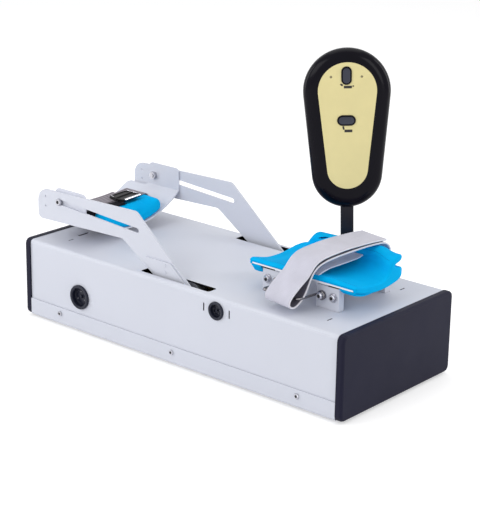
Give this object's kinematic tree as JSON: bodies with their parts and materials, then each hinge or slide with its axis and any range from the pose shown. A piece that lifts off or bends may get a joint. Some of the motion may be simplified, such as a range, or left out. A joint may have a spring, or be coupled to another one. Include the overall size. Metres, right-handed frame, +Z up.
{
  "type": "arm rehabilitation machine",
  "caption": "Bench-top elbow exerciser: box with slotted swing arms, a wrist cradle, an upper-arm cuff with strap and a hand controller on a stalk.",
  "frame": {"origin": "on the table, centred under the box", "axes": "+X along the box from the wrist end to the cuff end, +Y to the back, +Z up"},
  "size_m": [0.57, 0.238, 0.4228],
  "materials": {
    "painted_shell": "satin powder coat",
    "cap_plastic": "fine matt",
    "foot_rubber": "matt",
    "socket_plastic": "satin",
    "screw_steel": "bright",
    "zinc_plate": "zinc plated",
    "gear_brass": "machined",
    "block_aluminium": "cast",
    "board_green": "lacquered",
    "pad_foam": "soft laminate",
    "wrist_webbing": "woven",
    "cuff_loop_tape": "brushed loop",
    "buckle_plastic": "satin",
    "handset_gloss": "gloss",
    "face_cream": "satin film"
  },
  "bodies": {
    "base": {"base_pan": "painted_shell", "top_cover": "painted_shell", "cuff_frame": "painted_shell", "cuff_tray": "painted_shell", "end_cap_left": "cap_plastic", "end_cap_right": "cap_plastic", "foot_front_left": "foot_rubber", "foot_front_right": "foot_rubber", "foot_back_left": "foot_rubber", "foot_back_right": "foot_rubber", "power_inlet": "socket_plastic", "handset_socket": "socket_plastic", "cover_screw_front_1": "screw_steel", "cover_screw_front_2": "screw_steel", "cover_screw_front_3": "screw_steel", "cover_screw_back_1": "screw_steel", "cover_screw_back_2": "screw_steel", "cover_screw_back_3": "screw_steel", "stem_screw_left": "screw_steel", "stem_screw_right": "screw_steel", "cuff_bolt_front_1": "screw_steel", "cuff_bolt_front_2": "screw_steel", "cuff_bolt_back_1": "screw_steel", "cuff_bolt_back_2": "screw_steel", "bail_bolt_1": "screw_steel", "bail_bolt_2": "screw_steel", "cuff_bail": "screw_steel", "ball_bearing_front": "screw_steel", "ball_bearing_back": "screw_steel", "gear_motor": "zinc_plate", "motor_bracket": "zinc_plate", "power_supply": "zinc_plate", "bearing_block_front": "block_aluminium", "bearing_block_back": "block_aluminium", "control_board": "board_green", "cuff_pad": "pad_foam", "cuff_strap": "cuff_loop_tape", "stem_foot": "buckle_plastic", "handset_stem": "handset_gloss", "handset_back": "handset_gloss", "handset_front": "handset_gloss", "faceplate": "face_cream"},
    "swing_frame": {"swing_arm_front": "painted_shell", "swing_arm_back": "painted_shell", "crank_plate_front": "painted_shell", "crank_plate_back": "painted_shell", "shaft_nut_front": "zinc_plate", "shaft_nut_back": "zinc_plate", "drive_shaft": "screw_steel", "sector_gear": "gear_brass"},
    "pinion": {"motor_pinion": "screw_steel"},
    "wrist_slider": {"carriage_bolt_front": "screw_steel", "carriage_bolt_back": "screw_steel"},
    "wrist_cradle": {"wrist_cradle": "painted_shell", "wrist_pad": "pad_foam", "wrist_strap": "wrist_webbing", "wrist_buckle": "buckle_plastic"},
    "button_up": {"button_up": "handset_gloss"},
    "button_down": {"button_down": "handset_gloss"}
  },
  "joints": [
    {"name": "arm_swing", "type": "hinge", "parent": "base", "child": "swing_frame", "pos_m": [0.008, 0, 0.095], "axis": [0, 1, 0], "range_deg": [0, 90]},
    {"name": "pinion_spin", "type": "hinge", "parent": "base", "child": "pinion", "pos_m": [0.008, -0.041, 0.02488], "axis": [0, 1, 0], "range_deg": [-545, 5]},
    {"name": "carriage_slide", "type": "slide", "parent": "swing_frame", "child": "wrist_slider", "axis": [0.9982, 0, -0.0593], "range_m": [0, 0.145]},
    {"name": "cradle_tilt", "type": "hinge", "parent": "wrist_slider", "child": "wrist_cradle", "pos_m": [-0.232, 0, 0.1766], "axis": [0, 1, 0], "range_deg": [-3, 3]},
    {"name": "button_up_press", "type": "slide", "parent": "base", "child": "button_up", "axis": [-0.6514, 0.7587, 0], "range_m": [0, 0.001], "stiffness_N_per_m": 900, "springref_m": -0.001},
    {"name": "button_down_press", "type": "slide", "parent": "base", "child": "button_down", "axis": [-0.6514, 0.7587, 0], "range_m": [0, 0.001], "stiffness_N_per_m": 900, "springref_m": -0.001}
  ],
  "couplings": [
    {"joint": "pinion_spin", "follows": "arm_swing", "ratio": -6}
  ]
}
